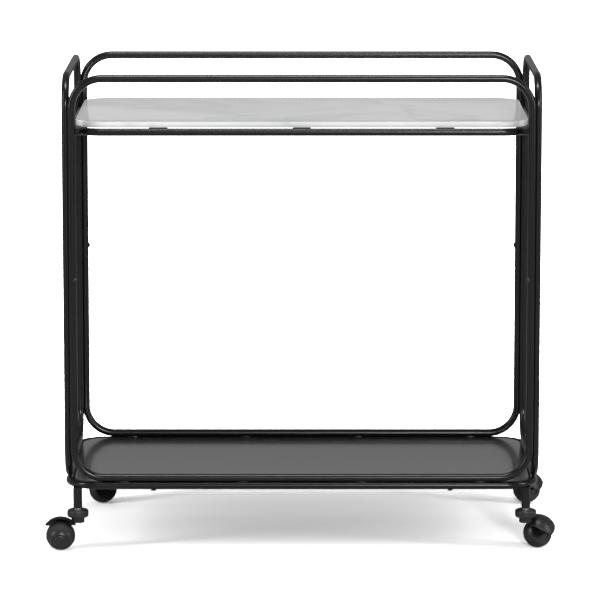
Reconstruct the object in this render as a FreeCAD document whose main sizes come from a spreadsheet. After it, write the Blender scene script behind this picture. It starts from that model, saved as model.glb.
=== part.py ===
import FreeCAD, Part
import math
import os
import Sketcher

V = FreeCAD.Vector
Rotation = FreeCAD.Rotation
UP, ALONG_X, ALONG_Y = V(0, 0, 1), V(1, 0, 0), V(0, 1, 0)

# Bar cart: two tall front and back loops of bent tube nest against two end loops at the corners.
# A lower ring carries a pressed shelf, an upper ring carries a stone slab, and four hooded
# ball casters stand under posts on the lower ring. X runs along the cart, Y to its back, Z up.

SIZES = {
    # the cart over its tubes, and how far it stands in front of the origin, because the
    # swivelled casters reach further behind it than before it
    "cart_width": 800.0, "cart_depth": 403.0, "cart_height": 809.5, "stance_forward": 10.0,
    # frame tube, its bends, and the gap left at every welded or bolted touch
    "tube_dia": 13.0, "tube_wall": 1.2, "loop_bend": 50.0, "ring_bend": 50.0, "weld_gap": 0.05,
    # height of the bottom rails' centre line, and how far the front and back loops' sides
    # stand inside the end loops' sides
    "rail_low": 127.4, "loop_inset": 10.3,
    # upper ring: centre-line height, and its distance in from the cart's outer faces
    "top_ring_height": 712.6, "top_ring_inset": 17.0, "bracket_dia": 12.0, "vent_dia": 4.0,
    # stone slab, the bars and pads under it
    "slab_thick": 10.0, "slab_setback": 4.0, "slab_lift": 0.3, "slab_arris": 0.8,
    "bar_width": 30.0, "bar_thick": 4.0, "bar_pitch": 240.0, "pad_dia": 20.0, "pad_thick": 1.8,
    "pad_spread": 110.0,
    # pressed lower shelf
    "shelf_sheet": 1.5, "shelf_skirt": 14.0, "shelf_rise": 5.6, "shelf_gap": 0.1,
    "shelf_edge": 1.2, "rib_width": 25.0, "rib_height": 8.0, "rib_pitch": 150.0,
    # screws: shank, head, and the hole's clearance all round
    "screw_dia": 5.0, "screw_head_dia": 9.0, "screw_head": 2.6, "hole_clear": 0.1,
    "bolt_spread_long": 250.0, "bolt_spread_short": 90.0,
    # caster: one domed wheel on an axle that slants down to the wheel's side of the caster,
    # trailing behind the swivel. Distances along the axle count from the ball's centre.
    "wheel_dia": 50.0, "trail": 29.5, "axle_slant": 24.0, "wheel_back": 10.0,
    "tread_proud": 0.3, "tread_low": 3.5, "tread_high": 13.5, "tread_seat_dia": 37.0,
    "recess_dia": 32.0, "recess_depth": 2.0, "hub_dia": 15.0, "running_clear": 0.05,
    "axle_dia": 6.0, "axle_front": 9.0, "axle_back": 29.0, "axle_end_gap": 0.5,
    # caster hood: part of a ball shell between two slanting ends, and the head above it
    "hood_dia": 64.0, "hood_wall": 4.2, "hood_tail_angle": 33.0, "hood_nose_angle": 145.0,
    "hood_lip": 8.0, "boss_dia": 13.0, "boss_gap": 0.4,
    "head_low": 45.0, "head_step": 57.0, "head_top": 70.0, "head_neck_dia": 22.0,
    "head_dia": 36.0, "head_edge": 3.5,
    # stem, its collar, snap ring and threaded sleeve, and the post they sit in
    "journal_dia": 7.0, "bearing_gap": 0.3, "collar_dia": 13.0, "collar_thick": 2.0,
    "stem_dia": 8.0, "stem_reach": 25.0, "clip_dia": 10.0, "clip_thick": 1.2, "clip_groove": 0.6,
    "clip_pocket_dia": 11.0, "clip_pocket": 7.0, "stem_tail": 4.0, "chamfer": 0.6,
    "sleeve_dia": 11.0, "sleeve_flange_dia": 14.4, "sleeve_flange": 1.0, "sleeve_depth": 27.0,
    "post_dia": 15.0, "post_seat": 2.0,
}

doc = FreeCAD.newDocument("bar_cart")
sheet = doc.addObject("Spreadsheet::Sheet", "Sizes")
for row, (alias, number) in enumerate(SIZES.items(), 1):
    sheet.set("A%d" % row, alias)
    sheet.set("B%d" % row, str(number))
    sheet.setAlias("B%d" % row, alias)
doc.recompute()

# Places worked out from the sizes. Each is bound to the sheet and used by name below.
PLACES = {
    "tube_r": "Sizes.tube_dia / 2",
    "bore_r": "Sizes.tube_dia / 2 - Sizes.tube_wall",
    "tube_pitch": "Sizes.tube_dia + Sizes.weld_gap",
    "loop_half_height": "(Sizes.cart_height - Sizes.tube_dia / 2 - Sizes.rail_low) / 2",
    "loop_middle": "(Sizes.cart_height - Sizes.tube_dia / 2 + Sizes.rail_low) / 2",
    "end_x": "(Sizes.cart_width - Sizes.tube_dia) / 2",
    "front_y": "(Sizes.cart_depth - Sizes.tube_dia) / 2",
    "side_x": "Places.end_x - Sizes.loop_inset",
    "side_y": "Places.front_y - sqrt(Places.tube_pitch ^ 2 - Sizes.loop_inset ^ 2)",
    "low_ring_z": "Sizes.rail_low - Places.tube_pitch",
    "top_x": "Sizes.cart_width / 2 - Sizes.top_ring_inset",
    "top_y": "Sizes.cart_depth / 2 - Sizes.top_ring_inset",
    "slab_low": "Sizes.top_ring_height + Places.tube_r + Sizes.slab_lift",
    "bar_top": "Places.slab_low - Sizes.pad_thick",
    "bar_low": "Places.bar_top - Sizes.bar_thick",
    "shelf_top": "Places.low_ring_z + Sizes.shelf_rise",
    "shelf_x": "Places.end_x - Places.tube_r - Sizes.shelf_gap",
    "shelf_y": "Places.front_y - Places.tube_r - Sizes.shelf_gap",
    "shelf_corner": "Sizes.ring_bend - Places.tube_r - Sizes.shelf_gap",
    "post_x": "Places.end_x - Sizes.ring_bend * (1 - sqrt(0.5))",
    "post_y": "Places.front_y - Sizes.ring_bend * (1 - sqrt(0.5))",
    "wheel_r": "Sizes.wheel_dia / 2",
    "dome_r": "Places.wheel_r - Sizes.tread_proud",
    "hood_r": "Sizes.hood_dia / 2",
    "axle_r": "Sizes.axle_dia / 2",
    "journal_r": "Sizes.journal_dia / 2",
    "collar_low": "Sizes.head_top + Sizes.bearing_gap",
    "collar_high": "Places.collar_low + Sizes.collar_thick",
    "post_low": "Places.collar_high + Sizes.sleeve_flange",
    "stem_top": "Places.collar_high + Sizes.stem_reach",
    "clip_shoulder": "Sizes.head_low + Sizes.clip_pocket",
    "clip_high": "Places.clip_shoulder - Sizes.bearing_gap",
    "clip_low": "Places.clip_high - Sizes.clip_thick",
    "stem_low": "Places.clip_low - Sizes.stem_tail",
    "groove_r": "Places.journal_r - Sizes.clip_groove",
}
places = doc.addObject("App::VarSet", "Places")
for name, expression in PLACES.items():
    places.addProperty("App::PropertyFloat", name)
    places.setExpression(name, expression)
doc.recompute()


asked = doc.addObject("App::VarSet", "Asked")
asked.addProperty("App::PropertyFloat", "number")


def value(expression):
    """The number that an expression on the sheet has now."""
    asked.setExpression("number", expression)
    asked.recompute()
    return asked.number


def bind(thing, **links):
    """Bind properties of a document object to expressions."""
    for name, expression in links.items():
        thing.setExpression(name, expression)


def place(thing, x="0", y="0", z="0", rotation=Rotation()):
    """Put a top-level object at a place in the cart's frame."""
    thing.Placement = FreeCAD.Placement(V(0, 0, 0), rotation)
    thing.setExpression("Placement.Base.x", x)
    thing.setExpression("Placement.Base.y", "%s - Sizes.stance_forward" % y)
    thing.setExpression("Placement.Base.z", z)
    return thing


# ---- sketches ----

def sketch_on(body, role, lift="0"):
    """A new sketch on one of a body's own origin planes, lifted along the plane's normal."""
    sketch = body.newObject("Sketcher::SketchObject", "Sketch")
    plane = [feature for feature in body.Origin.OriginFeatures if feature.Role == role][0]
    sketch.AttachmentSupport = [(plane, "")]
    sketch.MapMode = "FlatFace"
    sketch.setExpression("AttachmentOffset.Base.z", lift)
    return sketch


def dimension(sketch, kind, expression, *where):
    """A sketch dimension that follows an expression."""
    index = sketch.addConstraint(Sketcher.Constraint(kind, *where, value(expression)))
    sketch.setExpression("Constraints[%d]" % index, expression)


def pin_point(sketch, geometry, end, x, y):
    """Hold a point of the sketch at (x, y) from its origin."""
    for kind, axis, expression in (("DistanceX", -2, x), ("DistanceY", -1, y)):
        if expression == "0":
            sketch.addConstraint(Sketcher.Constraint("PointOnObject", geometry, end, axis))
        elif value(expression) < 0:
            dimension(sketch, kind, "-(%s)" % expression, geometry, end, -1, 1)
        else:
            dimension(sketch, kind, expression, -1, 1, geometry, end)


def circle(sketch, x, y, radius):
    index = sketch.addGeometry(Part.Circle(V(value(x), value(y), 0), UP, value(radius)))
    pin_point(sketch, index, 3, x, y)
    dimension(sketch, "Radius", radius, index)


def outline(sketch, points):
    """A closed outline of straight edges, each corner held by two expressions."""
    corners = [V(value(x), value(y), 0) for x, y in points]
    for index, corner in enumerate(corners):
        sketch.addGeometry(Part.LineSegment(corner, corners[(index + 1) % len(corners)]))
    for index in range(len(points)):
        follower = (index + 1) % len(points)
        sketch.addConstraint(Sketcher.Constraint("Coincident", index, 2, follower, 1))
    for index, (x, y) in enumerate(points):
        pin_point(sketch, index, 1, x, y)


def rounded_rectangle(sketch, half_x, half_y, corner):
    """A rectangle about the origin with four equal round corners."""
    hx, hy, r = value(half_x), value(half_y), value(corner)
    quarter = math.pi / 2
    for index, (sx, sy) in enumerate(((1, -1), (1, 1), (-1, 1), (-1, -1))):
        centre = V(sx * (hx - r), sy * (hy - r), 0)
        start = (index - 1) * quarter
        sketch.addGeometry(Part.ArcOfCircle(Part.Circle(centre, UP, r), start, start + quarter))
        leave = centre + V(math.cos(start + quarter), math.sin(start + quarter), 0) * r
        nx, ny = ((1, 1), (-1, 1), (-1, -1), (1, -1))[index]
        arrive = V(nx * (hx - r), ny * (hy - r), 0)
        arrive += V(math.cos(start + quarter), math.sin(start + quarter), 0) * r
        sketch.addGeometry(Part.LineSegment(leave, arrive))
    for arc in (0, 2, 4, 6):
        sketch.addConstraint(Sketcher.Constraint("Tangent", arc, 2, arc + 1, 1))
        sketch.addConstraint(Sketcher.Constraint("Tangent", arc + 1, 2, (arc + 2) % 8, 1))
        if arc:
            sketch.addConstraint(Sketcher.Constraint("Equal", 0, arc))
    for line, direction in ((1, "Vertical"), (3, "Horizontal"), (5, "Vertical"), (7, "Horizontal")):
        sketch.addConstraint(Sketcher.Constraint(direction, line))
    dimension(sketch, "Radius", corner, 0)
    dimension(sketch, "DistanceX", half_x, -1, 1, 1, 1)
    dimension(sketch, "DistanceX", half_x, 5, 1, -1, 1)
    dimension(sketch, "DistanceY", half_y, -1, 1, 3, 1)
    dimension(sketch, "DistanceY", half_y, 7, 1, -1, 1)


# ---- features ----

def new_body(label):
    body = doc.addObject("PartDesign::Body", label)
    body.Label = label
    return body


def pad(body, sketch, length, both_ways=False):
    feature = body.newObject("PartDesign::Pad", "Pad")
    feature.Profile = sketch
    feature.Midplane = both_ways
    bind(feature, Length=length)
    doc.recompute()
    return feature


def revolve(body, points, kind="PartDesign::Revolution", role="XZ_Plane"):
    """Turn a closed outline of (radius, height) points about the sketch's vertical axis."""
    sketch = sketch_on(body, role)
    outline(sketch, points)
    feature = body.newObject(kind, "Turned")
    feature.Profile = sketch
    feature.ReferenceAxis = (sketch, ["V_Axis"])
    feature.Angle = 360
    doc.recompute()
    return feature


def round_edges(body, base, radius, wanted):
    """Fillet the edges of a feature that pass a test."""
    names = ["Edge%d" % (i + 1) for i, edge in enumerate(base.Shape.Edges) if wanted(edge)]
    feature = body.newObject("PartDesign::Fillet", "Fillet")
    feature.Base = (base, names)
    bind(feature, Radius=radius)
    doc.recompute()
    return feature


def cylinder(name, radius, height):
    thing = doc.addObject("Part::Cylinder", name)
    bind(thing, Radius=radius, Height=height)
    return thing


def torus(name, ring_radius, tube_radius):
    thing = doc.addObject("Part::Torus", name)
    bind(thing, Radius1=ring_radius, Radius2=tube_radius)
    return thing


def group(label, pieces):
    """Separate solids that share one node."""
    thing = doc.addObject("Part::Compound", label)
    thing.Label = label
    thing.Links = pieces
    return thing


def cut(label, base, tools):
    """A piece with every tool taken out of it."""
    thing = doc.addObject("Part::Cut", label)
    thing.Label = label
    thing.Base = base
    thing.Tool = tools[0] if len(tools) == 1 else group(label + "_tools", tools)
    return thing


nodes = []


def keep(thing):
    """Mark an object as a finished sub-part, written to its own file."""
    nodes.append(thing)
    return thing


# ---- tube loops and rings ----

def bent_tube(label, path_role, section_role, half_a, half_b, bend, section_x, section_y):
    """A closed loop of hollow tube, bent in one plane about the body's origin."""
    body = new_body(label)
    path = sketch_on(body, path_role)
    rounded_rectangle(path, half_a, half_b, bend)
    edges = ["Edge%d" % (i + 1) for i in range(8)]
    for kind, radius in (("Additive", "Places.tube_r"), ("Subtractive", "Places.bore_r")):
        section = sketch_on(body, section_role)
        circle(section, section_x, section_y, radius)
        doc.recompute()
        pipe = body.newObject("PartDesign::%sPipe" % kind, "Pipe")
        pipe.Profile = section
        pipe.Spine = (path, edges)
        doc.recompute()
    return body


HOLE_R = "Sizes.screw_dia / 2 + Sizes.hole_clear"
SHANK_R = "Sizes.screw_dia / 2"
BOLT_LOW = "Places.low_ring_z - Places.tube_r"
CORNERS = [(sx, sy) for sy in (-1, 1) for sx in (-1, 1)]

front_bolts = [("%d * Sizes.bolt_spread_long" % sx, "%d * Places.front_y" % sy) for sx, sy in CORNERS]
end_bolts = [("%d * Places.end_x" % sx, "%d * Sizes.bolt_spread_short" % sy) for sx, sy in CORNERS]


def bolt_holes(spots, low, length):
    """Upright holes at some of the bolts' places."""
    return [place(cylinder("bolt_hole", HOLE_R, length), x, y, low) for x, y in spots]


def corner_hole(sx, sy):
    """The hole that the corner screw passes through, in both of the tubes that touch there."""
    across = Rotation(UP, V(sx * value("Sizes.loop_inset"), -sy * value("Places.front_y - Places.side_y"), 0))
    hole = cylinder("corner_hole", HOLE_R, "2 * Places.tube_pitch + Places.tube_r")
    inward = "(Places.tube_pitch / 2 + Places.tube_r) / Places.tube_pitch"
    return place(
        hole,
        "%d * (Places.side_x - Sizes.loop_inset * %s)" % (sx, inward),
        "%d * (Places.front_y + (Places.front_y - Places.side_y) * %s)" % (sy, inward),
        "Places.loop_middle",
        across,
    )


for label, sy in (("front_loop", -1), ("back_loop", 1)):
    tube = bent_tube(label + "_tube", "XZ_Plane", "XY_Plane", "Places.side_x",
                     "Places.loop_half_height", "Sizes.loop_bend", "Places.side_x", "0")
    place(tube, "0", "%d * Places.front_y" % sy, "Places.loop_middle")
    spots = [spot for spot, corner in zip(front_bolts, CORNERS) if corner[1] == sy]
    holes = bolt_holes(spots, "Sizes.rail_low - Sizes.tube_dia", "Sizes.tube_dia")
    holes += [corner_hole(sx, sy) for sx in (-1, 1)]
    keep(cut(label, tube, holes))

for label, sx in (("left_end_loop", -1), ("right_end_loop", 1)):
    tube = bent_tube(label + "_tube", "YZ_Plane", "XY_Plane", "Places.side_y",
                     "Places.loop_half_height", "Sizes.loop_bend", "0", "Places.side_y")
    place(tube, "%d * Places.end_x" % sx, "0", "Places.loop_middle")
    spots = [spot for spot, corner in zip(end_bolts, CORNERS) if corner[0] == sx]
    holes = bolt_holes(spots, "Sizes.rail_low - Sizes.tube_dia", "Sizes.tube_dia")
    holes += [corner_hole(sx, sy) for sy in (-1, 1)]
    keep(cut(label, tube, holes))

ring = bent_tube("bottom_ring_tube", "XY_Plane", "XZ_Plane", "Places.end_x", "Places.front_y",
                 "Sizes.ring_bend", "Places.end_x", "0")
place(ring, "0", "0", "Places.low_ring_z")
ring_holes = bolt_holes(front_bolts + end_bolts, BOLT_LOW + " - Sizes.tube_wall", "2 * Sizes.tube_dia")
keep(cut("bottom_ring", ring, ring_holes))

ring = bent_tube("top_ring_tube", "XY_Plane", "XZ_Plane", "Places.top_x", "Places.top_y",
                 "Sizes.ring_bend", "Places.top_x", "0")
place(ring, "0", "0", "Sizes.top_ring_height")
vents = [place(cylinder("vent", "Sizes.vent_dia / 2", "Places.tube_r + Sizes.tube_wall"), x, "0",
               "Sizes.top_ring_height - Places.tube_r - Sizes.tube_wall")
         for x in ("-Places.top_x", "Places.top_x")]
keep(cut("top_ring", ring, vents))


# ---- stubs that carry the upper ring in the four corners ----

def ring_bracket(sx, sy):
    """A stub from the ring's corner bend into the valley between the two upright tubes."""
    bend_x = "%d * (Places.top_x - Sizes.ring_bend)" % sx
    bend_y = "%d * (Places.top_y - Sizes.ring_bend)" % sy
    valley_x = "%d * (Places.side_x + Places.end_x) / 2" % sx
    valley_y = "%d * (Places.side_y + Places.front_y) / 2" % sy
    run = V(value(valley_x) - value(bend_x), value(valley_y) - value(bend_y), 0)
    reach = "sqrt((%s - (%s)) ^ 2 + (%s - (%s)) ^ 2)" % (valley_x, bend_x, valley_y, bend_y)
    stub = cylinder("stub", "Sizes.bracket_dia / 2", "%s - Sizes.ring_bend" % reach)
    place(stub, "%s + (%s - (%s)) * Sizes.ring_bend / %s" % (bend_x, valley_x, bend_x, reach),
          "%s + (%s - (%s)) * Sizes.ring_bend / %s" % (bend_y, valley_y, bend_y, reach),
          "Sizes.top_ring_height", Rotation(UP, run))
    clear = "Places.tube_r + Sizes.weld_gap"
    bend = place(torus("bend", "Sizes.ring_bend", clear), bend_x, bend_y, "Sizes.top_ring_height")
    uprights = [
        place(cylinder("upright", clear, "Sizes.cart_height"), "%d * Places.side_x" % sx,
              "%d * Places.front_y" % sy),
        place(cylinder("upright", clear, "Sizes.cart_height"), "%d * Places.end_x" % sx,
              "%d * Places.side_y" % sy),
    ]
    return cut("bracket", stub, [bend] + uprights)


keep(group("ring_brackets", [ring_bracket(sx, sy) for sx, sy in CORNERS]))


# ---- slab, bars and pads ----

def rounded_plate(label, half_x, half_y, corner, thick):
    body = new_body(label)
    sketch = sketch_on(body, "XY_Plane")
    rounded_rectangle(sketch, half_x, half_y, corner)
    pad(body, sketch, thick)
    return body


def on_top_rim(body, height):
    """A test for the edges all round the top face."""
    level = value(height)
    return lambda edge: all(abs(v.Z - level) < 1e-6 for v in edge.Vertexes)


marble = rounded_plate("marble_top", "Places.top_x - Sizes.slab_setback",
                       "Places.top_y - Sizes.slab_setback", "Sizes.ring_bend - Sizes.slab_setback",
                       "Sizes.slab_thick")
round_edges(marble, marble.Tip, "Sizes.slab_arris", on_top_rim(marble, "Sizes.slab_thick"))
keep(place(marble, "0", "0", "Places.slab_low"))

bar_half = "(Places.top_y - Sizes.weld_gap - sqrt(Places.tube_r ^ 2 - " \
           "(Places.bar_low - Sizes.top_ring_height) ^ 2))"
bars = []
pads = []
for step in (-1, 0, 1):
    bar = doc.addObject("Part::Box", "bar")
    bind(bar, Length="Sizes.bar_width", Width="2 * " + bar_half, Height="Sizes.bar_thick")
    place(bar, "%d * Sizes.bar_pitch - Sizes.bar_width / 2" % step, "-" + bar_half, "Places.bar_low")
    bars.append(bar)
    for side in (-1, 1):
        disc = cylinder("pad", "Sizes.pad_dia / 2", "Sizes.pad_thick")
        place(disc, "%d * Sizes.bar_pitch" % step, "%d * Sizes.pad_spread" % side, "Places.bar_top")
        pads.append(disc)
keep(group("top_cross_bars", bars))
keep(group("marble_pads", pads))

# ---- pressed lower shelf and its ribs ----

shelf = rounded_plate("shelf_panel", "Places.shelf_x", "Places.shelf_y", "Places.shelf_corner",
                      "Sizes.shelf_skirt")
round_edges(shelf, shelf.Tip, "Sizes.shelf_edge", on_top_rim(shelf, "Sizes.shelf_skirt"))
hollow = sketch_on(shelf, "XY_Plane")
rounded_rectangle(hollow, "Places.shelf_x - Sizes.shelf_sheet", "Places.shelf_y - Sizes.shelf_sheet",
                  "Places.shelf_corner - Sizes.shelf_sheet")
pocket = shelf.newObject("PartDesign::Pocket", "Pocket")
pocket.Profile = hollow
pocket.Reversed = True
bind(pocket, Length="Sizes.shelf_skirt - Sizes.shelf_sheet")
keep(place(shelf, "0", "0", "Places.shelf_top - Sizes.shelf_skirt"))

rib_half = "(Places.shelf_y - Sizes.shelf_sheet - Sizes.weld_gap)"
ribs = []
for side in (-1, 1):
    rib = doc.addObject("Part::Box", "rib")
    bind(rib, Length="Sizes.rib_width", Width="2 * " + rib_half, Height="Sizes.rib_height")
    place(rib, "%d * Sizes.rib_pitch - Sizes.rib_width / 2" % side, "-" + rib_half,
          "Places.shelf_top - Sizes.shelf_sheet - Sizes.rib_height")
    ribs.append(rib)
keep(group("shelf_ribs", ribs))


# ---- screws ----

def screw(length):
    """A button-head screw: its head's underside is at the body's origin, its shank runs up."""
    body = new_body("screw")
    revolve(body, [
        ("0", "-Sizes.screw_head"), ("Sizes.screw_head_dia / 4", "-Sizes.screw_head"),
        ("Sizes.screw_head_dia / 2", "-Sizes.screw_head / 3"), ("Sizes.screw_head_dia / 2", "0"),
        (SHANK_R, "0"), (SHANK_R, length), ("0", length),
    ])
    return body


def corner_screw(sx, sy):
    """From the front or back loop's tube, through it, into the end loop's tube."""
    across = Rotation(UP, V(sx * value("Sizes.loop_inset"), -sy * value("Places.front_y - Places.side_y"), 0))
    outward = "Places.tube_r / Places.tube_pitch"
    return place(
        screw("Sizes.tube_dia + Places.tube_r"),
        "%d * (Places.side_x - Sizes.loop_inset * %s)" % (sx, outward),
        "%d * (Places.front_y + (Places.front_y - Places.side_y) * %s)" % (sy, outward),
        "Places.loop_middle",
        across,
    )


keep(group("corner_screws", [corner_screw(sx, sy) for sx, sy in CORNERS]))
keep(group("ring_bolts", [place(screw("Places.tube_pitch + Places.tube_r"), x, y, BOLT_LOW)
                          for x, y in front_bolts + end_bolts]))


# ---- posts, sleeves, stems and snap rings ----

def caster_post(x, y, sx, sy):
    """Seated on the ring's corner bend, notched round the shelf's skirt, bored for the sleeve."""
    rod = cylinder("post", "Sizes.post_dia / 2",
                   "Places.low_ring_z - Sizes.post_seat - Places.post_low")
    place(rod, x, y, "Places.post_low")
    bend = place(torus("bend", "Sizes.ring_bend", "Places.tube_r + Sizes.weld_gap"),
                 "%d * (Places.end_x - Sizes.ring_bend)" % sx,
                 "%d * (Places.front_y - Sizes.ring_bend)" % sy, "Places.low_ring_z")
    notch = place(cylinder("notch", "Places.shelf_corner + Sizes.shelf_gap", "Sizes.cart_height"),
                  "%d * (Places.end_x - Sizes.ring_bend)" % sx,
                  "%d * (Places.front_y - Sizes.ring_bend)" % sy,
                  "Places.shelf_top - Sizes.shelf_skirt - Sizes.shelf_gap")
    bore = place(cylinder("bore", "Sizes.sleeve_dia / 2", "Sizes.sleeve_depth"), x, y, "Places.post_low")
    return cut("post_cut", rod, [bend, notch, bore])


def caster_sleeve():
    body = new_body("sleeve")
    revolve(body, [
        ("Sizes.stem_dia / 2", "Places.collar_high"),
        ("Sizes.sleeve_flange_dia / 2", "Places.collar_high"),
        ("Sizes.sleeve_flange_dia / 2", "Places.post_low"),
        ("Sizes.sleeve_dia / 2", "Places.post_low"),
        ("Sizes.sleeve_dia / 2", "Places.post_low + Sizes.sleeve_depth - Sizes.weld_gap"),
        ("Sizes.stem_dia / 2", "Places.post_low + Sizes.sleeve_depth - Sizes.weld_gap"),
    ])
    return body


def caster_stem(label):
    body = new_body(label)
    revolve(body, [
        ("0", "Places.stem_low"),
        ("Places.journal_r - Sizes.chamfer", "Places.stem_low"),
        ("Places.journal_r", "Places.stem_low + Sizes.chamfer"),
        ("Places.journal_r", "Places.clip_low"),
        ("Places.groove_r", "Places.clip_low"),
        ("Places.groove_r", "Places.clip_high"),
        ("Places.journal_r", "Places.clip_high"),
        ("Places.journal_r", "Places.collar_low"),
        ("Sizes.collar_dia / 2", "Places.collar_low"),
        ("Sizes.collar_dia / 2", "Places.collar_high"),
        ("Sizes.stem_dia / 2", "Places.collar_high"),
        ("Sizes.stem_dia / 2", "Places.stem_top - Sizes.chamfer"),
        ("Sizes.stem_dia / 2 - Sizes.chamfer", "Places.stem_top"),
        ("0", "Places.stem_top"),
    ])
    return body


def snap_ring():
    body = new_body("snap_ring")
    revolve(body, [
        ("Places.groove_r", "Places.clip_low"), ("Sizes.clip_dia / 2", "Places.clip_low"),
        ("Sizes.clip_dia / 2", "Places.clip_high"), ("Places.groove_r", "Places.clip_high"),
    ])
    return body


# ---- the turning parts of a caster ----

def fuse(shapes):
    thing = doc.addObject("Part::MultiFuse", "fused")
    thing.Shapes = shapes
    return thing


def common(label, base, tool):
    thing = doc.addObject("Part::Common", label)
    thing.Label = label
    thing.Base, thing.Tool = base, tool
    return thing


def along_axle(thing, caster, distance, backwards=False):
    """Put a round piece on the caster's slanting axle, so far from the ball's centre."""
    x, y, yaw = caster
    slant = value("Sizes.axle_slant")
    tip = -90 - slant + (180 if backwards else 0)
    turned = Rotation(UP, yaw) * Rotation(ALONG_X, tip)
    reach = "(%s) * cos(Sizes.axle_slant * 1 deg)" % distance
    cos_yaw, sin_yaw = round(math.cos(math.radians(yaw)), 9), round(math.sin(math.radians(yaw)), 9)
    return place(thing, "%s + %s * Sizes.trail - %s * %s" % (x, cos_yaw, sin_yaw, reach),
                 "%s + %s * Sizes.trail + %s * %s" % (y, sin_yaw, cos_yaw, reach),
                 "Places.wheel_r - (%s) * sin(Sizes.axle_slant * 1 deg)" % distance, turned)


def ball(caster, radius):
    thing = doc.addObject("Part::Sphere", "ball")
    bind(thing, Radius=radius)
    return along_axle(thing, caster, "0")


def hood_sector(caster):
    """A wedge about the level line across the caster, from the hood's tail to its nose."""
    x, y, yaw = caster
    wedge = cylinder("wedge", "Places.hood_r * 1.2", "Places.hood_r * 2.4")
    bind(wedge, Angle="(Sizes.hood_nose_angle - Sizes.hood_tail_angle) * 1 deg")
    tail = math.radians(value("Sizes.hood_tail_angle"))
    start = V(math.cos(tail), 0, math.sin(tail))
    turned = Rotation(UP, yaw) * Rotation(start, V(-start.z, 0, start.x), -ALONG_Y, "XYZ")
    cos_yaw, sin_yaw = round(math.cos(math.radians(yaw)), 9), round(math.sin(math.radians(yaw)), 9)
    return place(wedge, "%s + %s * Sizes.trail - %s * Places.hood_r * 1.2" % (x, cos_yaw, sin_yaw),
                 "%s + %s * Sizes.trail + %s * Places.hood_r * 1.2" % (y, sin_yaw, cos_yaw),
                 "Places.wheel_r", turned)


def swivel_head():
    body = new_body("head")
    revolve(body, [
        ("0", "Sizes.head_low"), ("Sizes.head_neck_dia / 2", "Sizes.head_low"),
        ("Sizes.head_neck_dia / 2", "Sizes.head_step"),
        ("Sizes.head_dia / 2", "Sizes.head_step + Sizes.head_edge"),
        ("Sizes.head_dia / 2", "Sizes.head_top - Sizes.head_edge"),
        ("Sizes.head_dia / 2 - Sizes.head_edge", "Sizes.head_top"), ("0", "Sizes.head_top"),
    ])
    return body


def stem_socket():
    """What the stem takes out of the head: the journal bore and the snap ring's pocket."""
    body = new_body("socket")
    revolve(body, [
        ("0", "Sizes.head_low - Sizes.head_edge"),
        ("Sizes.clip_pocket_dia / 2", "Sizes.head_low - Sizes.head_edge"),
        ("Sizes.clip_pocket_dia / 2", "Places.clip_shoulder"),
        ("Places.journal_r + Sizes.running_clear", "Places.clip_shoulder"),
        ("Places.journal_r + Sizes.running_clear", "Sizes.head_top + Sizes.head_edge"),
        ("0", "Sizes.head_top + Sizes.head_edge"),
    ])
    return body


def caster_hood(label, caster):
    """Shell, swivel head and axle boss, moulded in one."""
    x, y, yaw = caster
    face = cylinder("face", "Places.hood_r * 1.2", "Places.hood_r * 3")
    along_axle(face, caster, "-Sizes.hood_lip")
    shell = cut("shell", common("cap", ball(caster, "Places.hood_r"), hood_sector(caster)), [face])
    whole = cut("open_shell", fuse([shell, place(swivel_head(), x, y)]),
                [ball(caster, "Places.hood_r - Sizes.hood_wall")])
    boss = cylinder("boss", "Sizes.boss_dia / 2",
                    "Places.hood_r - Sizes.hood_wall / 2 - Sizes.wheel_back - Sizes.boss_gap")
    along_axle(boss, caster, "-Sizes.wheel_back - Sizes.boss_gap", backwards=True)
    axle_hole = cylinder("axle_hole", "Places.axle_r", "Sizes.axle_back")
    along_axle(axle_hole, caster, "0", backwards=True)
    return cut(label, fuse([whole, boss]), [axle_hole, place(stem_socket(), x, y)])


def tread_ring(caster):
    """The band round the wheel that the tread fills."""
    outer = cylinder("outer", "Sizes.wheel_dia", "Sizes.tread_high - Sizes.tread_low")
    inner = cylinder("inner", "Sizes.tread_seat_dia / 2", "Sizes.tread_high - Sizes.tread_low")
    return cut("band", along_axle(outer, caster, "Sizes.tread_low"),
               [along_axle(inner, caster, "Sizes.tread_low")])


def wheel_dome(label, caster):
    """Hard dome with a blind running bore and a moulded recess in its back."""
    dome = ball(caster, "Places.dome_r")
    bind(dome, Angle1="-asin(Sizes.wheel_back / Places.dome_r)")
    back = "-Sizes.wheel_back"
    bore = cylinder("bore", "Places.axle_r + Sizes.running_clear",
                    "Sizes.wheel_back + Sizes.axle_front + Sizes.axle_end_gap")
    wide = along_axle(cylinder("wide", "Sizes.recess_dia / 2", "Sizes.recess_depth"), caster, back)
    hub = along_axle(cylinder("hub", "Sizes.hub_dia / 2", "Sizes.recess_depth"), caster, back)
    return cut(label, dome, [along_axle(bore, caster, back), cut("recess", wide, [hub]), tread_ring(caster)])


# corner name, side signs, and the way the wheel trails at rest, in degrees from +X
CASTERS = (("front_left", -1, -1, 180.0), ("front_right", 1, -1, 42.0),
           ("back_left", -1, 1, 36.0), ("back_right", 1, 1, 38.0))

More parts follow.
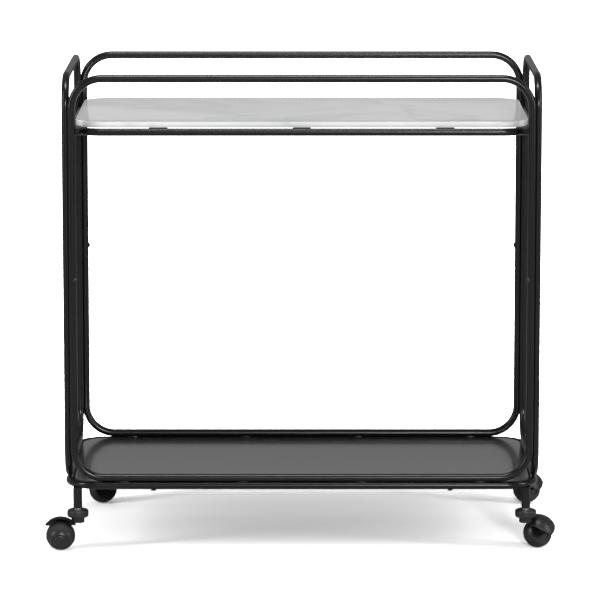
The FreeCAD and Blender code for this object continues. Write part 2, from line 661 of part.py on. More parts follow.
posts, sleeves, clips = [], [], []
for corner, sx, sy, yaw in CASTERS:
    x, y = "%d * Places.post_x" % sx, "%d * Places.post_y" % sy
    posts.append(caster_post(x, y, sx, sy))
    sleeves.append(place(caster_sleeve(), x, y))
    clips.append(place(snap_ring(), x, y))
    keep(place(caster_stem("stem_" + corner), x, y))

    caster = (x, y, yaw)
    keep(caster_hood("hood_" + corner, caster))
    axle = cylinder("axle_" + corner, "Places.axle_r", "Sizes.axle_front + Sizes.axle_back")
    axle.Label = "axle_" + corner
    keep(along_axle(axle, caster, "-Sizes.axle_back"))
    keep(wheel_dome("wheel_" + corner, caster))
    keep(common("tyre_" + corner, ball(caster, "Places.wheel_r"), tread_ring(caster)))
keep(group("caster_posts", posts))
keep(group("caster_sleeves", sleeves))
keep(group("stem_clips", clips))

# ---- check and write ----

doc.recompute()
for thing in doc.Objects:
    if any(word in thing.State for word in ("Invalid", "Error")):
        raise RuntimeError("%s (%s) failed: %s" % (thing.Name, thing.Label, thing.State))
os.makedirs("parts", exist_ok=True)
for node in nodes:
    if node.Shape.isNull() or not node.Shape.isValid() or not node.Shape.Solids:
        raise RuntimeError("%s has no valid shape" % node.Label)
for node in nodes:
    node.Shape.exportStep("parts/%s.step" % node.Label)
    print("%-28s %d solids %10.0f mm3" % (node.Label, len(node.Shape.Solids), node.Shape.Volume))
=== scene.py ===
import math

import bmesh
import bpy
from mathutils import Matrix, Vector


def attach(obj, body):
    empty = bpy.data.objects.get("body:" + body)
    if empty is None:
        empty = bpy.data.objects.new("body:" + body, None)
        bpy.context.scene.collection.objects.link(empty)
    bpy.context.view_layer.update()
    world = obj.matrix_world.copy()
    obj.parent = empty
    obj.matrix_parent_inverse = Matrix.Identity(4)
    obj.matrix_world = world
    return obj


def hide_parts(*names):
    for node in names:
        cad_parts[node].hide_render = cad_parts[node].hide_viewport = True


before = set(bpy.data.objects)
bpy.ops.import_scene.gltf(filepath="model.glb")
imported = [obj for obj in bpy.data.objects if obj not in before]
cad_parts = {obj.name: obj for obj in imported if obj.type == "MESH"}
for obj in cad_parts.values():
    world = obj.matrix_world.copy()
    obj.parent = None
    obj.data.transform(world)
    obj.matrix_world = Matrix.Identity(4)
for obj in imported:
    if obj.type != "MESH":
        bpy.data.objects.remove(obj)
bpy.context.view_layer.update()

# ==== Frame tubes ====
# Six closed loops of 13 mm steel tube, each bent in one plane with its two ends butt-welded and
# ground flush before powder coating. One node tree sweeps a round section along each path.

# Sizes are in metres. The whole cart stands this far in front of the origin.
FORWARD = 0.010
TUBE_R = 0.0065
FRONT_Y, SIDE_X = 0.195, 0.3832
END_X, SIDE_Y = 0.3935, 0.186987
LOOP_MIDDLE, LOOP_HALF = 0.4652, 0.3378
LOW_RING_Z = 0.11435
TOP_RING_Z, TOP_X, TOP_Y = 0.7126, 0.383, 0.1845
BEND = 0.050
STEPS_A_BEND, STEPS_ROUND = 28, 40


def material(name, colour, rough, metallic=0.0, coat=0.0, coat_rough=0.1):
    """A plain surface whose colour and gloss are set directly on its shader."""
    made = bpy.data.materials.new(name)
    made.use_nodes = True
    shader = made.node_tree.nodes["Principled BSDF"]
    shader.inputs["Base Color"].default_value = (*colour, 1)
    shader.inputs["Roughness"].default_value = rough
    shader.inputs["Metallic"].default_value = metallic
    shader.inputs["Coat Weight"].default_value = coat
    shader.inputs["Coat Roughness"].default_value = coat_rough
    return made, shader


def object_noise(made, scale, detail, vector=None, distortion=0.0):
    """Noise laid out on the object's own coordinates."""
    tree = made.node_tree
    noise = tree.nodes.new("ShaderNodeTexNoise")
    noise.inputs["Scale"].default_value = scale
    noise.inputs["Detail"].default_value = detail
    noise.inputs["Distortion"].default_value = distortion
    if vector is None:
        vector = tree.nodes.new("ShaderNodeTexCoord").outputs["Object"]
    tree.links.new(vector, noise.inputs["Vector"])
    return noise.outputs["Fac"]


def grain(made, shader, scale, depth):
    """Fine surface grain: orange peel in paint, spark texture in moulded plastic."""
    tree = made.node_tree
    bump = tree.nodes.new("ShaderNodeBump")
    bump.inputs["Strength"].default_value = 0.25
    bump.inputs["Distance"].default_value = depth
    tree.links.new(object_noise(made, scale, 2.0), bump.inputs["Height"])
    tree.links.new(bump.outputs["Normal"], shader.inputs["Normal"])


def linked(name, data):
    """A new object in the scene, at the origin and unturned."""
    made = bpy.data.objects.new(name, data)
    bpy.context.collection.objects.link(made)
    return made


def fixed(base, name):
    """A plain mesh made once from an object's modifiers. The object itself goes."""
    graph = bpy.context.evaluated_depsgraph_get()
    graph.update()
    mesh = bpy.data.meshes.new_from_object(base.evaluated_get(graph), depsgraph=graph)
    bpy.data.objects.remove(base)
    mesh.name = name
    return linked(name, mesh)


def smoothed(mesh):
    mesh.polygons.foreach_set("use_smooth", [True] * len(mesh.polygons))


def settle(made, slot, body, *stands_for):
    """Fix a finished piece to the body it rides on, in place of some of its plain pieces."""
    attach(made, body)
    if stands_for:
        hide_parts(*stands_for)


POWDER_COAT, shader = material("powder_coat", (0.0035, 0.0035, 0.004), 0.24)
shader.inputs["Specular IOR Level"].default_value = 0.32
grain(POWDER_COAT, shader, 900.0, 0.000015)


def tube_tree():
    """Geometry nodes: a rounded rectangle path swept with a round section."""
    tree = bpy.data.node_groups.new("bent_tube", "GeometryNodeTree")
    sockets = tree.interface
    for name, kind in (("Half Length", "NodeSocketFloat"), ("Half Height", "NodeSocketFloat"),
                       ("Bend Radius", "NodeSocketFloat"), ("Tube Radius", "NodeSocketFloat"),
                       ("Centre", "NodeSocketVector"), ("Turn", "NodeSocketVector"),
                       ("Finish", "NodeSocketMaterial")):
        sockets.new_socket(name, in_out="INPUT", socket_type=kind)
    sockets.new_socket("Geometry", in_out="OUTPUT", socket_type="NodeSocketGeometry")
    add, link = tree.nodes.new, tree.links.new
    given, result = add("NodeGroupInput"), add("NodeGroupOutput")
    double_x, double_y = add("ShaderNodeMath"), add("ShaderNodeMath")
    for node, name in ((double_x, "Half Length"), (double_y, "Half Height")):
        node.operation = "MULTIPLY"
        node.inputs[1].default_value = 2.0
        link(given.outputs[name], node.inputs[0])
    path = add("GeometryNodeCurvePrimitiveQuadrilateral")
    link(double_x.outputs[0], path.inputs["Width"])
    link(double_y.outputs[0], path.inputs["Height"])
    bends = add("GeometryNodeFilletCurve")
    bends.mode = "POLY"
    bends.inputs["Count"].default_value = STEPS_A_BEND
    link(path.outputs[0], bends.inputs["Curve"])
    link(given.outputs["Bend Radius"], bends.inputs["Radius"])
    section = add("GeometryNodeCurvePrimitiveCircle")
    section.inputs["Resolution"].default_value = STEPS_ROUND
    link(given.outputs["Tube Radius"], section.inputs["Radius"])
    sweep = add("GeometryNodeCurveToMesh")
    link(bends.outputs[0], sweep.inputs["Curve"])
    link(section.outputs[0], sweep.inputs["Profile Curve"])
    put = add("GeometryNodeTransform")
    link(sweep.outputs[0], put.inputs["Geometry"])
    link(given.outputs["Centre"], put.inputs["Translation"])
    link(given.outputs["Turn"], put.inputs["Rotation"])
    real = add("GeometryNodeRealizeInstances")
    link(put.outputs[0], real.inputs[0])
    paint = add("GeometryNodeSetMaterial")
    link(real.outputs[0], paint.inputs["Geometry"])
    link(given.outputs["Finish"], paint.inputs["Material"])
    link(paint.outputs[0], result.inputs[0])
    return tree


def grown(tree, name, base, values):
    """What a node tree makes of a base object once its named inputs are set."""
    modifier = base.modifiers.new("grow", "NODES")
    modifier.node_group = tree
    for item in tree.interface.items_tree:
        if item.in_out == "INPUT" and item.name in values:
            modifier[item.identifier] = values[item.name]
    return fixed(base, name)


TUBE_TREE = tube_tree()
STANDING, END_ON, LYING = (math.pi / 2, 0, 0), (math.pi / 2, 0, math.pi / 2), (0, 0, 0)
TUBES = [
    ("front_loop", SIDE_X, LOOP_HALF, (0, -FRONT_Y - FORWARD, LOOP_MIDDLE), STANDING),
    ("back_loop", SIDE_X, LOOP_HALF, (0, FRONT_Y - FORWARD, LOOP_MIDDLE), STANDING),
    ("left_end_loop", SIDE_Y, LOOP_HALF, (-END_X, -FORWARD, LOOP_MIDDLE), END_ON),
    ("right_end_loop", SIDE_Y, LOOP_HALF, (END_X, -FORWARD, LOOP_MIDDLE), END_ON),
    ("top_ring", TOP_X, TOP_Y, (0, -FORWARD, TOP_RING_Z), LYING),
    ("bottom_ring", END_X, FRONT_Y, (0, -FORWARD, LOW_RING_Z), LYING),
]
for name, half_long, half_high, centre, turn in TUBES:
    seed = linked(name + "_seed", bpy.data.meshes.new(name + "_seed"))
    tube = grown(TUBE_TREE, name + "_tube", seed, {
        "Half Length": half_long, "Half Height": half_high, "Bend Radius": BEND,
        "Tube Radius": TUBE_R, "Centre": centre, "Turn": turn, "Finish": POWDER_COAT})
    smoothed(tube.data)
    settle(tube, "frame_black", "frame", name)


# ==== Weld beads ====
# Short MIG beads where the tubes touch: the low rails on the bottom ring, and the corner stubs
# at each end. They are coated with the frame and stand barely proud of it.


CREASE = 38


def lathe(profile, at=Matrix.Identity(4), steps=64):
    """Vertices and faces of a (radius, height) profile turned round the Z axis of a place."""
    vertices, rings = [], []
    for radius, height in profile:
        if radius < 1e-7:
            rings.append([len(vertices)])
            vertices.append(at @ Vector((0, 0, height)))
        else:
            rings.append(list(range(len(vertices), len(vertices) + steps)))
            for k in range(steps):
                turn = 2 * math.pi * k / steps
                spot = Vector((radius * math.cos(turn), radius * math.sin(turn), height))
                vertices.append(at @ spot)
    faces = []
    for low, high in zip(rings, rings[1:]):
        for k in range(steps):
            after = (k + 1) % steps
            if len(low) == 1 and len(high) > 1:
                faces.append((low[0], high[k], high[after]))
            elif len(high) == 1 and len(low) > 1:
                faces.append((low[k], low[after], high[0]))
            elif len(low) > 1:
                faces.append((low[k], low[after], high[after], high[k]))
    return vertices, faces


def joined(*parts):
    """Several (vertices, faces) sets as one."""
    vertices, faces = [], []
    for some, more in parts:
        start = len(vertices)
        vertices += some
        faces += [tuple(start + i for i in face) for face in more]
    return vertices, faces


def outward(mesh):
    """Turn a mesh's faces to look outward."""
    clean = bmesh.new()
    clean.from_mesh(mesh)
    bmesh.ops.recalc_face_normals(clean, faces=clean.faces)
    clean.to_mesh(mesh)
    clean.free()


def solid_mesh(name, vertices, faces, crease):
    """A smooth mesh, left sharp where its faces meet at more than so many degrees."""
    mesh = bpy.data.meshes.new(name)
    mesh.from_pydata([tuple(v) for v in vertices], [], faces)
    outward(mesh)
    smoothed(mesh)
    mesh.set_sharp_from_angle(angle=math.radians(crease))
    return mesh


def piece(name, vertices, faces, finish, slot, body, *stands_for):
    """A finished mesh in one material, fixed to its body."""
    mesh = solid_mesh(name, vertices, faces, CREASE)
    mesh.materials.append(finish)
    settle(linked(name, mesh), slot, body, *stands_for)


def bead(centre, along, length, radius):
    """A low rounded ridge lying along a direction."""
    profile = []
    for k in range(13):
        at = math.pi * k / 12
        profile.append((radius * max(0.0, math.sin(at)) ** 0.5, -length / 2 * math.cos(at)))
    turn = Vector(along).to_track_quat("Z", "Y").to_matrix().to_4x4()
    return lathe(profile, Matrix.Translation(centre) @ turn, 16)


beads = []
RAIL_TOUCH = LOW_RING_Z + TUBE_R
BEAD_LENGTH, BEAD_R, BEAD_OFFSET = 0.016, 0.0021, 0.0028
for sign in (-1, 1):
    for x in (-0.30, -0.10, 0.10, 0.30):
        for inside in (-1, 1):
            centre = (x, sign * FRONT_Y - FORWARD + inside * BEAD_OFFSET, RAIL_TOUCH)
            beads.append(bead(centre, (1, 0, 0), BEAD_LENGTH, BEAD_R))
    for y in (-0.11, 0.11):
        for inside in (-1, 1):
            centre = (sign * END_X + inside * BEAD_OFFSET, y - FORWARD, RAIL_TOUCH)
            beads.append(bead(centre, (0, 1, 0), BEAD_LENGTH, BEAD_R))
piece("weld_beads", *joined(*beads), POWDER_COAT, "frame_black", "frame")


# ==== Stone top shelf ====
# A sawn and polished slab of white marble, 10 mm thick, its corners rounded and its top arris
# eased by hand. It lies loose on grip pads over three flat steel bars in the upper ring.


def ramp(made, factor, stops):
    """A colour ramp over a factor, given as (position, colour) stops."""
    tree = made.node_tree
    node = tree.nodes.new("ShaderNodeValToRGB")
    while len(node.color_ramp.elements) < len(stops):
        node.color_ramp.elements.new(0.5)
    for element, (position, colour) in zip(node.color_ramp.elements, stops):
        element.position = position
        element.color = (*colour, 1)
    tree.links.new(factor, node.inputs["Fac"])
    return node.outputs["Color"]


MARBLE, shader = material("marble", (0.7, 0.7, 0.7), 0.10, coat=0.3, coat_rough=0.05)
tree = MARBLE.node_tree
coordinates = tree.nodes.new("ShaderNodeTexCoord").outputs["Object"]
cloud = ramp(MARBLE, object_noise(MARBLE, 4.0, 5.0, coordinates, 0.8),
             [(0.28, (0.62, 0.625, 0.635)), (0.60, (0.79, 0.792, 0.79))])
vein = tree.nodes.new("ShaderNodeTexWave")
vein.wave_type = "BANDS"
vein.bands_direction = "DIAGONAL"
vein.inputs["Scale"].default_value = 1.6
vein.inputs["Distortion"].default_value = 14.0
vein.inputs["Detail"].default_value = 5.0
vein.inputs["Detail Scale"].default_value = 1.4
tree.links.new(coordinates, vein.inputs["Vector"])
line = ramp(MARBLE, vein.outputs["Fac"], [(0.0, (0.86, 0.865, 0.88)), (0.06, (1.0, 1.0, 1.0))])
mix = tree.nodes.new("ShaderNodeMix")
mix.data_type = "RGBA"
mix.blend_type = "MULTIPLY"
mix.inputs["Factor"].default_value = 0.7
tree.links.new(cloud, mix.inputs["A"])
tree.links.new(line, mix.inputs["B"])
tree.links.new(mix.outputs["Result"], shader.inputs["Base Color"])


def panel(half_x, half_y, corner, profile, steps=20):
    """Rounded-rectangle rings at (inset, height), closed by a flat face at each end."""
    vertices, faces = [], []
    around = 4 * (steps + 1)
    for inset, height in profile:
        for quarter, (sx, sy) in enumerate(((1, 1), (-1, 1), (-1, -1), (1, -1))):
            for k in range(steps + 1):
                turn = math.pi / 2 * (quarter + k / steps)
                radius = max(corner - inset, 0.002)
                reach = (half_x - inset - radius, half_y - inset - radius)
                vertices.append((sx * reach[0] + radius * math.cos(turn),
                                 sy * reach[1] + radius * math.sin(turn) - FORWARD, height))
    for ring in range(len(profile) - 1):
        for k in range(around):
            after = (k + 1) % around
            a, b = ring * around, (ring + 1) * around
            faces.append((a + k, a + after, b + after, b + k))
    faces.append(tuple(range(around)))
    faces.append(tuple(range((len(profile) - 1) * around, len(profile) * around)))
    return vertices, faces


SLAB_HALF, SLAB_CORNER = (0.379, 0.1805), 0.046
SLAB_TOP, SLAB_LOW, ARRIS = 0.7294, 0.7194, 0.0008
slab_edge = [(0.004, SLAB_LOW), (0.0006, SLAB_LOW), (0.0003, SLAB_LOW + 0.0001),
             (0.0, SLAB_LOW + 0.0005)]
for k in range(7):
    turn = math.pi / 2 * k / 6
    slab_edge.append((ARRIS * (1 - math.cos(turn)), SLAB_TOP - ARRIS * (1 - math.sin(turn))))
slab_edge += [(0.0014, SLAB_TOP), (0.004, SLAB_TOP)]
piece("marble_slab", *panel(*SLAB_HALF, SLAB_CORNER, slab_edge), MARBLE,
      "marble", "frame", "marble_top")


# ==== Pressed lower shelf ====
# One 1.5 mm steel sheet with a 14 mm skirt turned down all round, coated glossy charcoal black.
# It drops inside the bottom ring, and two folded ribs under it keep it flat.

SHEET_COAT, shader = material("sheet_coat", (0.030, 0.031, 0.033), 0.22, coat=0.6, coat_rough=0.12)
grain(SHEET_COAT, shader, 500.0, 0.00003)
SHELF_HALF, SHELF_CORNER = (0.3869, 0.1884), 0.0434
SHELF_TOP, SKIRT, SHEET, PRESSED_EDGE, BURR = 0.11995, 0.014, 0.0015, 0.0022, 0.0003
under, hem = SHELF_TOP - SHEET, SHELF_TOP - SKIRT
shelf_edge = [(0.03, under), (SHEET + 0.001, under), (SHEET, under - 0.001), (SHEET, hem + BURR),
              (SHEET - BURR, hem), (BURR, hem), (0.0, hem + BURR)]
for k in range(9):
    turn = math.pi / 2 * k / 8
    shelf_edge.append((PRESSED_EDGE * (1 - math.cos(turn)),
                       SHELF_TOP - PRESSED_EDGE * (1 - math.sin(turn))))
shelf_edge += [(0.003, SHELF_TOP), (0.03, SHELF_TOP)]
piece("pressed_shelf", *panel(*SHELF_HALF, SHELF_CORNER, shelf_edge), SHEET_COAT,
      "shelf_black", "frame", "shelf_panel")


# ==== Screws ====
# M5 button-head screws in black oxide, with a hexagon recess for a key: one through each corner
# pair of uprights and eight up through the bottom ring into the low rails.

SCREW_BLACK, shader = material("black_oxide", (0.010, 0.010, 0.011), 0.34)


SCREW_HEAD_R, SCREW_HEAD, SCREW_RIM, LAND_R = 0.0045, 0.0026, 0.0008, 0.0019
KEY_R, KEY_DEPTH = 0.0017, 0.0014
SCREW_CREASE = 40


def screw_mesh():
    """One button head on the Z axis, its underside at the origin and its recess facing down."""
    head = [(SCREW_HEAD_R, 0.0), (SCREW_HEAD_R, -SCREW_RIM)]
    for k in range(1, 9):
        turn = math.pi / 2 * k / 8
        head.append((LAND_R + (SCREW_HEAD_R - LAND_R) * math.cos(turn),
                     -SCREW_RIM - (SCREW_HEAD - SCREW_RIM) * math.sin(turn)))
    vertices, faces = lathe(head, steps=48)
    rim, floor, mouth = len(vertices) - 48, len(vertices), len(vertices) + 6
    for depth in (KEY_DEPTH - SCREW_HEAD, -SCREW_HEAD):
        for k in range(6):
            turn = math.pi / 3 * k
            vertices.append(Vector((KEY_R * math.cos(turn), KEY_R * math.sin(turn), depth)))
    for k in range(6):
        after = (k + 1) % 6
        faces.append((floor + k, floor + after, mouth + after, mouth + k))
        along_rim = tuple(rim + (8 * (k + 1) - j) % 48 for j in range(9))
        faces.append((mouth + k, mouth + after) + along_rim)
    faces.append(tuple(range(floor, floor + 6)))
    return solid_mesh("screw_head", vertices, faces, SCREW_CREASE)


def screw_tree(source):
    """Geometry nodes: one screw head on every point, turned by the point's own rotation."""
    tree = bpy.data.node_groups.new("screws", "GeometryNodeTree")
    tree.interface.new_socket("Points", in_out="INPUT", socket_type="NodeSocketGeometry")
    tree.interface.new_socket("Finish", in_out="INPUT", socket_type="NodeSocketMaterial")
    tree.interface.new_socket("Geometry", in_out="OUTPUT", socket_type="NodeSocketGeometry")
    add, link = tree.nodes.new, tree.links.new
    given, result = add("NodeGroupInput"), add("NodeGroupOutput")
    head = add("GeometryNodeObjectInfo")
    head.inputs["Object"].default_value = source
    turn = add("GeometryNodeInputNamedAttribute")
    turn.data_type = "FLOAT_VECTOR"
    turn.inputs["Name"].default_value = "turn"
    spread = add("GeometryNodeInstanceOnPoints")
    link(given.outputs["Points"], spread.inputs["Points"])
    link(head.outputs["Geometry"], spread.inputs["Instance"])
    link(turn.outputs["Attribute"], spread.inputs["Rotation"])
    real = add("GeometryNodeRealizeInstances")
    link(spread.outputs[0], real.inputs[0])
    paint = add("GeometryNodeSetMaterial")
    link(real.outputs[0], paint.inputs["Geometry"])
    link(given.outputs["Finish"], paint.inputs["Material"])
    link(paint.outputs[0], result.inputs[0])
    return tree


head_object = linked("screw_head_source", screw_mesh())
SCREW_TREE = screw_tree(head_object)


def screws(name, spots, node):
    """Screw heads at (place, direction of the shank) spots."""
    mesh = bpy.data.meshes.new(name + "_points")
    mesh.from_pydata([spot for spot, _ in spots], [], [])
    turn = mesh.attributes.new("turn", "FLOAT_VECTOR", "POINT")
    for item, (_, shank) in zip(turn.data, spots):
        item.vector = Vector(shank).to_track_quat("Z", "Y").to_euler()
    points = linked(name + "_points", mesh)
    settle(grown(SCREW_TREE, name, points, {"Finish": SCREW_BLACK}), "screw_black", "frame", node)


PITCH = 0.01305
OUT = TUBE_R / PITCH
INSET, DROP = END_X - SIDE_X, FRONT_Y - SIDE_Y
BOLT_X, BOLT_Y = 0.250, 0.090
corner_spots, bolt_spots = [], []
for sx in (-1, 1):
    for sy in (-1, 1):
        corner_spots.append(((sx * (SIDE_X - INSET * OUT), sy * (FRONT_Y + DROP * OUT) - FORWARD,
                              LOOP_MIDDLE), (sx * INSET, -sy * DROP, 0)))
        for x, y in ((BOLT_X, FRONT_Y), (END_X, BOLT_Y)):
            bolt_spots.append(((sx * x, sy * y - FORWARD, LOW_RING_Z - TUBE_R), (0, 0, 1)))
screws("corner_screw_heads", corner_spots, "corner_screws")
screws("ring_bolt_heads", bolt_spots, "ring_bolts")
bpy.data.objects.remove(head_object)


# ==== Caster posts ====
# Four short lengths of 15 mm tube welded up under the bottom ring's corner bends.
# Each has a plastic sleeve pressed in that grips the caster's stem.

HOOD_PLASTIC, shader = material("hood_plastic", (0.006, 0.006, 0.0065), 0.40)
grain(HOOD_PLASTIC, shader, 1600.0, 0.00005)
POST_X, POST_Y, POST_LOW, POST_TOP = 0.378855, 0.180355, 0.0733, 0.1090
CORNERS = {"front_left": (-1, -1, 180.0), "front_right": (1, -1, 42.0),
           "back_left": (-1, 1, 36.0), "back_right": (1, 1, 38.0)}
posts, sleeves = [], []
for sx, sy, _ in CORNERS.values():
    at = Matrix.Translation((sx * POST_X, sy * POST_Y - FORWARD, 0))
    posts.append(lathe([(0.0055, POST_LOW + 0.004), (0.0055, POST_LOW), (0.0071, POST_LOW),
                        (0.0075, POST_LOW + 0.0004), (0.0075, POST_TOP), (0.0, POST_TOP)], at))
    sleeves.append(lathe([(0.0040, 0.0723), (0.0068, 0.0723), (0.0072, 0.0726),
                          (0.0072, POST_LOW - 0.00002), (0.0040, POST_LOW - 0.00002),
                          (0.0040, 0.0723)], at))
piece("post_tubes", *joined(*posts), POWDER_COAT, "frame_black", "frame", "caster_posts")
piece("sleeve_flanges", *joined(*sleeves), HOOD_PLASTIC, "caster_black", "frame", "caster_sleeves")


# ==== Casters ====
# Hooded ball casters in black: the hood, its swivel head and axle boss are one nylon moulding,
# and a domed wheel with a rubber tread snaps onto a zinc axle that slants down to its side.

WHEEL_PLASTIC, shader = material("wheel_plastic", (0.006, 0.006, 0.0065), 0.36)
grain(WHEEL_PLASTIC, shader, 1600.0, 0.00004)
TREAD_RUBBER, shader = material("tread_rubber", (0.006, 0.006, 0.006), 0.70)
grain(TREAD_RUBBER, shader, 1100.0, 0.00008)
TRAIL, WHEEL_R, SLANT = 0.0295, 0.025, math.radians(24)
HOOD_R, HOOD_IN, LIP = 0.032, 0.0278, 0.008
TAIL, NOSE = math.radians(33), math.radians(145)


def sphere_reach(radius, theta):
    """How far a meridian of the hood runs from its pole before it meets the open face."""
    a, b = math.cos(SLANT), math.sin(theta) * math.sin(SLANT)
    return math.atan2(b, a) + math.acos(LIP / radius / math.hypot(a, b))


def hood_shell(at):
    """The hood's curved wall, outside and inside, with its rims, about the ball's centre."""
    rows, columns, vertices, faces = 40, 32, [], []
    for radius in (HOOD_R, HOOD_IN):
        for i in range(rows + 1):
            theta = TAIL + (NOSE - TAIL) * i / rows
            reach = sphere_reach(radius, theta)
            for j in range(columns + 1):
                phi = reach * j / columns
                vertices.append(at @ Vector((radius * math.sin(phi) * math.cos(theta),
                                             -radius * math.cos(phi),
                                             radius * math.sin(phi) * math.sin(theta))))
    inner, wide = (rows + 1) * (columns + 1), columns + 1
    for i in range(rows):
        for j in range(columns):
            a = i * wide + j
            faces.append((a, a + 1, a + wide + 1, a + wide))
            faces.append((inner + a, inner + a + wide, inner + a + wide + 1, inner + a + 1))
        a = i * wide + columns
        faces.append((a, inner + a, inner + a + wide, a + wide))
    for i in (0, rows):
        for j in range(columns):
            a = i * wide + j
            faces.append((a, a + 1, inner + a + 1, inner + a))
    return vertices, faces


MERGE, TOO_SHORT = 1e-6, 1e-7
EDGE_ROUND, EDGE_ANGLE, HOOD_CREASE = 0.0006, 50, 48


def moulding(name, parts, finish, slot, body, *stands_for):
    """A moulding whose sharp edges are rounded, then fixed as a plain mesh."""
    mesh = solid_mesh(name + "_raw", *joined(*parts), CREASE)
    mesh.materials.append(finish)
    clean = bmesh.new()
    clean.from_mesh(mesh)
    bmesh.ops.remove_doubles(clean, verts=clean.verts, dist=MERGE)
    bmesh.ops.dissolve_degenerate(clean, edges=clean.edges, dist=TOO_SHORT)
    clean.to_mesh(mesh)
    clean.free()
    outward(mesh)
    raw = linked(name + "_raw", mesh)
    bevel = raw.modifiers.new("round", "BEVEL")
    bevel.width = EDGE_ROUND
    bevel.segments = 3
    bevel.limit_method = "ANGLE"
    bevel.angle_limit = math.radians(EDGE_ANGLE)
    made = fixed(raw, name)
    smoothed(made.data)
    made.data.set_sharp_from_angle(angle=math.radians(HOOD_CREASE))
    settle(made, slot, body, *stands_for)


def arc(centre, radius, start, stop, steps):
    """Profile points round part of a circle, angles in degrees from outwards to up."""
    points = []
    for k in range(steps + 1):
        turn = math.radians(start + (stop - start) * k / steps)
        points.append((max(0.0, centre[0] + radius * math.cos(turn)),
                       centre[1] + radius * math.sin(turn)))
    return points


def ball_profile(radius, low, high, steps):
    """Profile points on a ball between two distances along its axis."""
    return [(math.sqrt(max(0.0, radius ** 2 - h ** 2)), h)
            for h in (low + (high - low) * k / steps for k in range(steps + 1))]


# Profiles as (radius, height): the swivel head and neck, with a race line round the head, then
# the wheel and its tread, whose heights count along the axle from the ball's centre.
HEAD_R, HEAD_ROUND = 0.0180, 0.0035
HEAD = [(0.0, 0.0480), (0.0105, 0.0480), (0.0110, 0.0485), (0.0110, 0.0566)]
HEAD += arc((HEAD_R - HEAD_ROUND, 0.0605), HEAD_ROUND, -90, 0, 7)
HEAD += [(HEAD_R, 0.0633), (0.0177, 0.0635), (0.0177, 0.0640), (HEAD_R, 0.0642)]
HEAD += arc((HEAD_R - HEAD_ROUND, 0.0665), HEAD_ROUND, 0, 90, 7)
HEAD += [(0.0080, 0.0700), (0.0078, 0.0696), (0.0036, 0.0696), (0.0036, 0.0690), (0.0, 0.0690)]
DOME = WHEEL_R - 0.0003
BACK, SEAT_R, TREAD_LOW, TREAD_HIGH = -0.0100, 0.0185, 0.0035, 0.0135
WHEEL = [(0.0031, BACK), (0.0075, BACK), (0.0075, -0.0080), (0.0160, -0.0080), (0.0160, BACK)]
WHEEL += ball_profile(DOME, BACK, 0.0033, 8)
WHEEL += [(0.0242, TREAD_LOW), (SEAT_R, TREAD_LOW), (SEAT_R, TREAD_HIGH), (0.0201, TREAD_HIGH)]
WHEEL += ball_profile(DOME, 0.0138, 0.0198, 6)
WHEEL += [(0.0143, 0.0199), (0.0139, 0.0196), (0.0132, 0.0197), (0.0130, 0.0209)]
WHEEL += ball_profile(DOME, 0.0211, DOME, 14)
TREAD = [(SEAT_R, TREAD_LOW), (0.0240, TREAD_LOW), (0.0243, 0.0037)]
TREAD += ball_profile(WHEEL_R, 0.0042, 0.0128, 10)
TREAD += [(0.0210, 0.0133), (0.0206, TREAD_HIGH), (SEAT_R, TREAD_HIGH), (SEAT_R, TREAD_LOW)]
BOSS = [(0.0, -0.0295), (0.0065, -0.0295), (0.0065, -0.0110), (0.0060, -0.0104), (0.0, -0.0104)]

for corner, (sx, sy, yaw) in CORNERS.items():
    swivel = Matrix.Translation((sx * POST_X, sy * POST_Y - FORWARD, 0))
    swivel = swivel @ Matrix.Rotation(math.radians(yaw), 4, "Z")
    ball = swivel @ Matrix.Translation((TRAIL, 0, WHEEL_R))
    axle = ball @ Matrix.Rotation(-math.pi / 2 - SLANT, 4, "X")
    moulding("hood_moulding_" + corner, [hood_shell(ball), lathe(HEAD, swivel), lathe(BOSS, axle)],
             HOOD_PLASTIC, "caster_black", "caster_" + corner, "hood_" + corner)
    piece("dome_" + corner, *lathe(WHEEL, axle, 72), WHEEL_PLASTIC, "wheel_black",
          "wheel_" + corner, "wheel_" + corner)
    piece("tread_" + corner, *lathe(TREAD, axle, 72), TREAD_RUBBER, "tread_black",
          "wheel_" + corner, "tyre_" + corner)


# ==== Plain pieces kept as they come ====
# The corner stubs, bars, ribs, pads, stems, snap rings and axles are simple turned or sawn
# shapes: they keep their own meshes and get the finish of what they are made of.

PAD_GEL, shader = material("pad_gel", (0.05, 0.05, 0.05), 0.5)
ZINC, shader = material("zinc_plate", (0.55, 0.55, 0.53), 0.28, metallic=1.0)
grain(ZINC, shader, 700.0, 0.00003)
KEPT = {"ring_brackets": POWDER_COAT, "top_cross_bars": POWDER_COAT, "shelf_ribs": SHEET_COAT,
        "marble_pads": PAD_GEL, "stem_clips": ZINC}
for corner in CORNERS:
    KEPT["stem_" + corner] = ZINC
    KEPT["axle_" + corner] = ZINC
for name, finish in KEPT.items():
    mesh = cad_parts[name].data
    mesh.materials.clear()
    mesh.materials.append(finish)


# ==== Floor, light and camera ====
# A plain white studio sweep that shows pure white to the camera but keeps the cart's shadow,
# a broad soft light overhead, and a softer one at each side.

# Each is its name, its place, the point it faces, its width and height, and its power.
LIGHTS = [
    ("overhead", (-0.1, -0.75, 3.0), (0, 0, 0.4), (1.4, 0.6), 50),
    ("left_window", (-3.0, -1.4, 1.5), (0, 0, 0.45), (0.5, 2.2), 40),
    ("right_window", (3.0, -1.2, 1.5), (0, 0, 0.45), (0.45, 2.2), 34),
    ("front_fill", (1.4, -8.5, 2.4), (0, 0, 0.5), (1.2, 1.0), 370),
]
for name, place, aim, (wide, high), power in LIGHTS:
    lamp = bpy.data.lights.new(name, "AREA")
    lamp.shape = "RECTANGLE"
    lamp.size, lamp.size_y = wide, high
    lamp.energy = power
    made = linked(name, lamp)
    made.location = place
    made.rotation_euler = (Vector(aim) - Vector(place)).to_track_quat("-Z", "Y").to_euler()


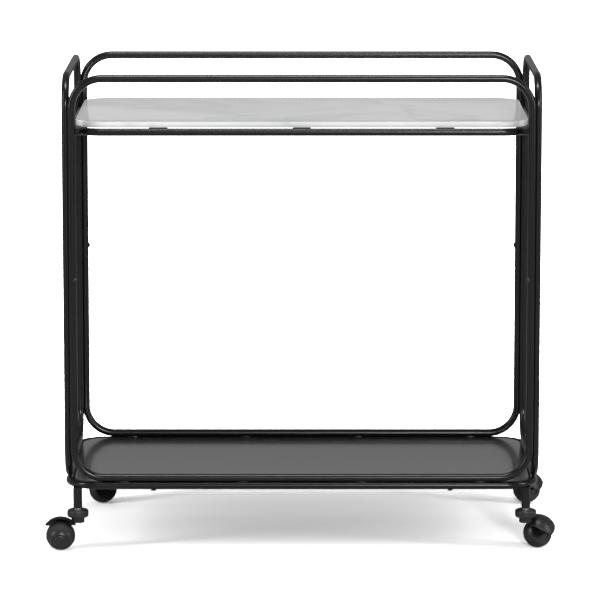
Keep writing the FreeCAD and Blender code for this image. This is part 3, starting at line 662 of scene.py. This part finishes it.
def seen_by_camera(tree, plain, seen):
    """A number that is one value to the camera and another to everything else."""
    path = tree.nodes.new("ShaderNodeLightPath")
    mix = tree.nodes.new("ShaderNodeMix")
    mix.data_type = "FLOAT"
    mix.inputs["A"].default_value = plain
    mix.inputs["B"].default_value = seen
    tree.links.new(path.outputs["Is Camera Ray"], mix.inputs["Factor"])
    return mix.outputs["Result"]


FLOOR_PAINT = bpy.data.materials.new("floor_paint")
FLOOR_PAINT.use_nodes = True
tree = FLOOR_PAINT.node_tree
tree.nodes.clear()
diffuse = tree.nodes.new("ShaderNodeBsdfDiffuse")
surface = tree.nodes.new("ShaderNodeOutputMaterial")
place = tree.nodes.new("ShaderNodeTexCoord")
distance = tree.nodes.new("ShaderNodeVectorMath")
distance.operation = "LENGTH"
tree.links.new(place.outputs["Object"], distance.inputs[0])
brighter = tree.nodes.new("ShaderNodeMapRange")
brighter.inputs["From Min"].default_value = 0.45
brighter.inputs["From Max"].default_value = 2.0
brighter.inputs["To Min"].default_value = 2.5
brighter.inputs["To Max"].default_value = 9.0
tree.links.new(distance.outputs["Value"], brighter.inputs["Value"])
seen = seen_by_camera(tree, 0.55, 1.0)
tree.links.new(brighter.outputs["Result"], seen.node.inputs["B"])
tree.links.new(seen, diffuse.inputs["Color"])
tree.links.new(diffuse.outputs["BSDF"], surface.inputs["Surface"])
FLOOR_HALF = 14.0
floor_mesh = bpy.data.meshes.new("floor")
floor_mesh.from_pydata([(-FLOOR_HALF, -FLOOR_HALF, 0), (FLOOR_HALF, -FLOOR_HALF, 0),
                        (FLOOR_HALF, FLOOR_HALF, 0), (-FLOOR_HALF, FLOOR_HALF, 0)],
                       [], [(0, 1, 2, 3)])
floor_mesh.materials.append(FLOOR_PAINT)
floor = linked("floor", floor_mesh)

world = bpy.data.worlds.new("studio")
bpy.context.scene.world = world
world.use_nodes = True
background = world.node_tree.nodes["Background"]
background.inputs["Color"].default_value = (1, 1, 1, 1)
world.node_tree.links.new(seen_by_camera(world.node_tree, 0.31, 1.0), background.inputs["Strength"])

lens = bpy.data.cameras.new("camera")
lens.sensor_width = 36.0
lens.lens = 240.1
lens.clip_end = 100.0
camera = linked("camera", lens)
camera.location = (-0.003, -6.814, 1.518)
camera.rotation_euler = (math.radians(80.66), 0, 0)
bpy.context.scene.camera = camera
bpy.context.scene.view_settings.view_transform = "Standard"
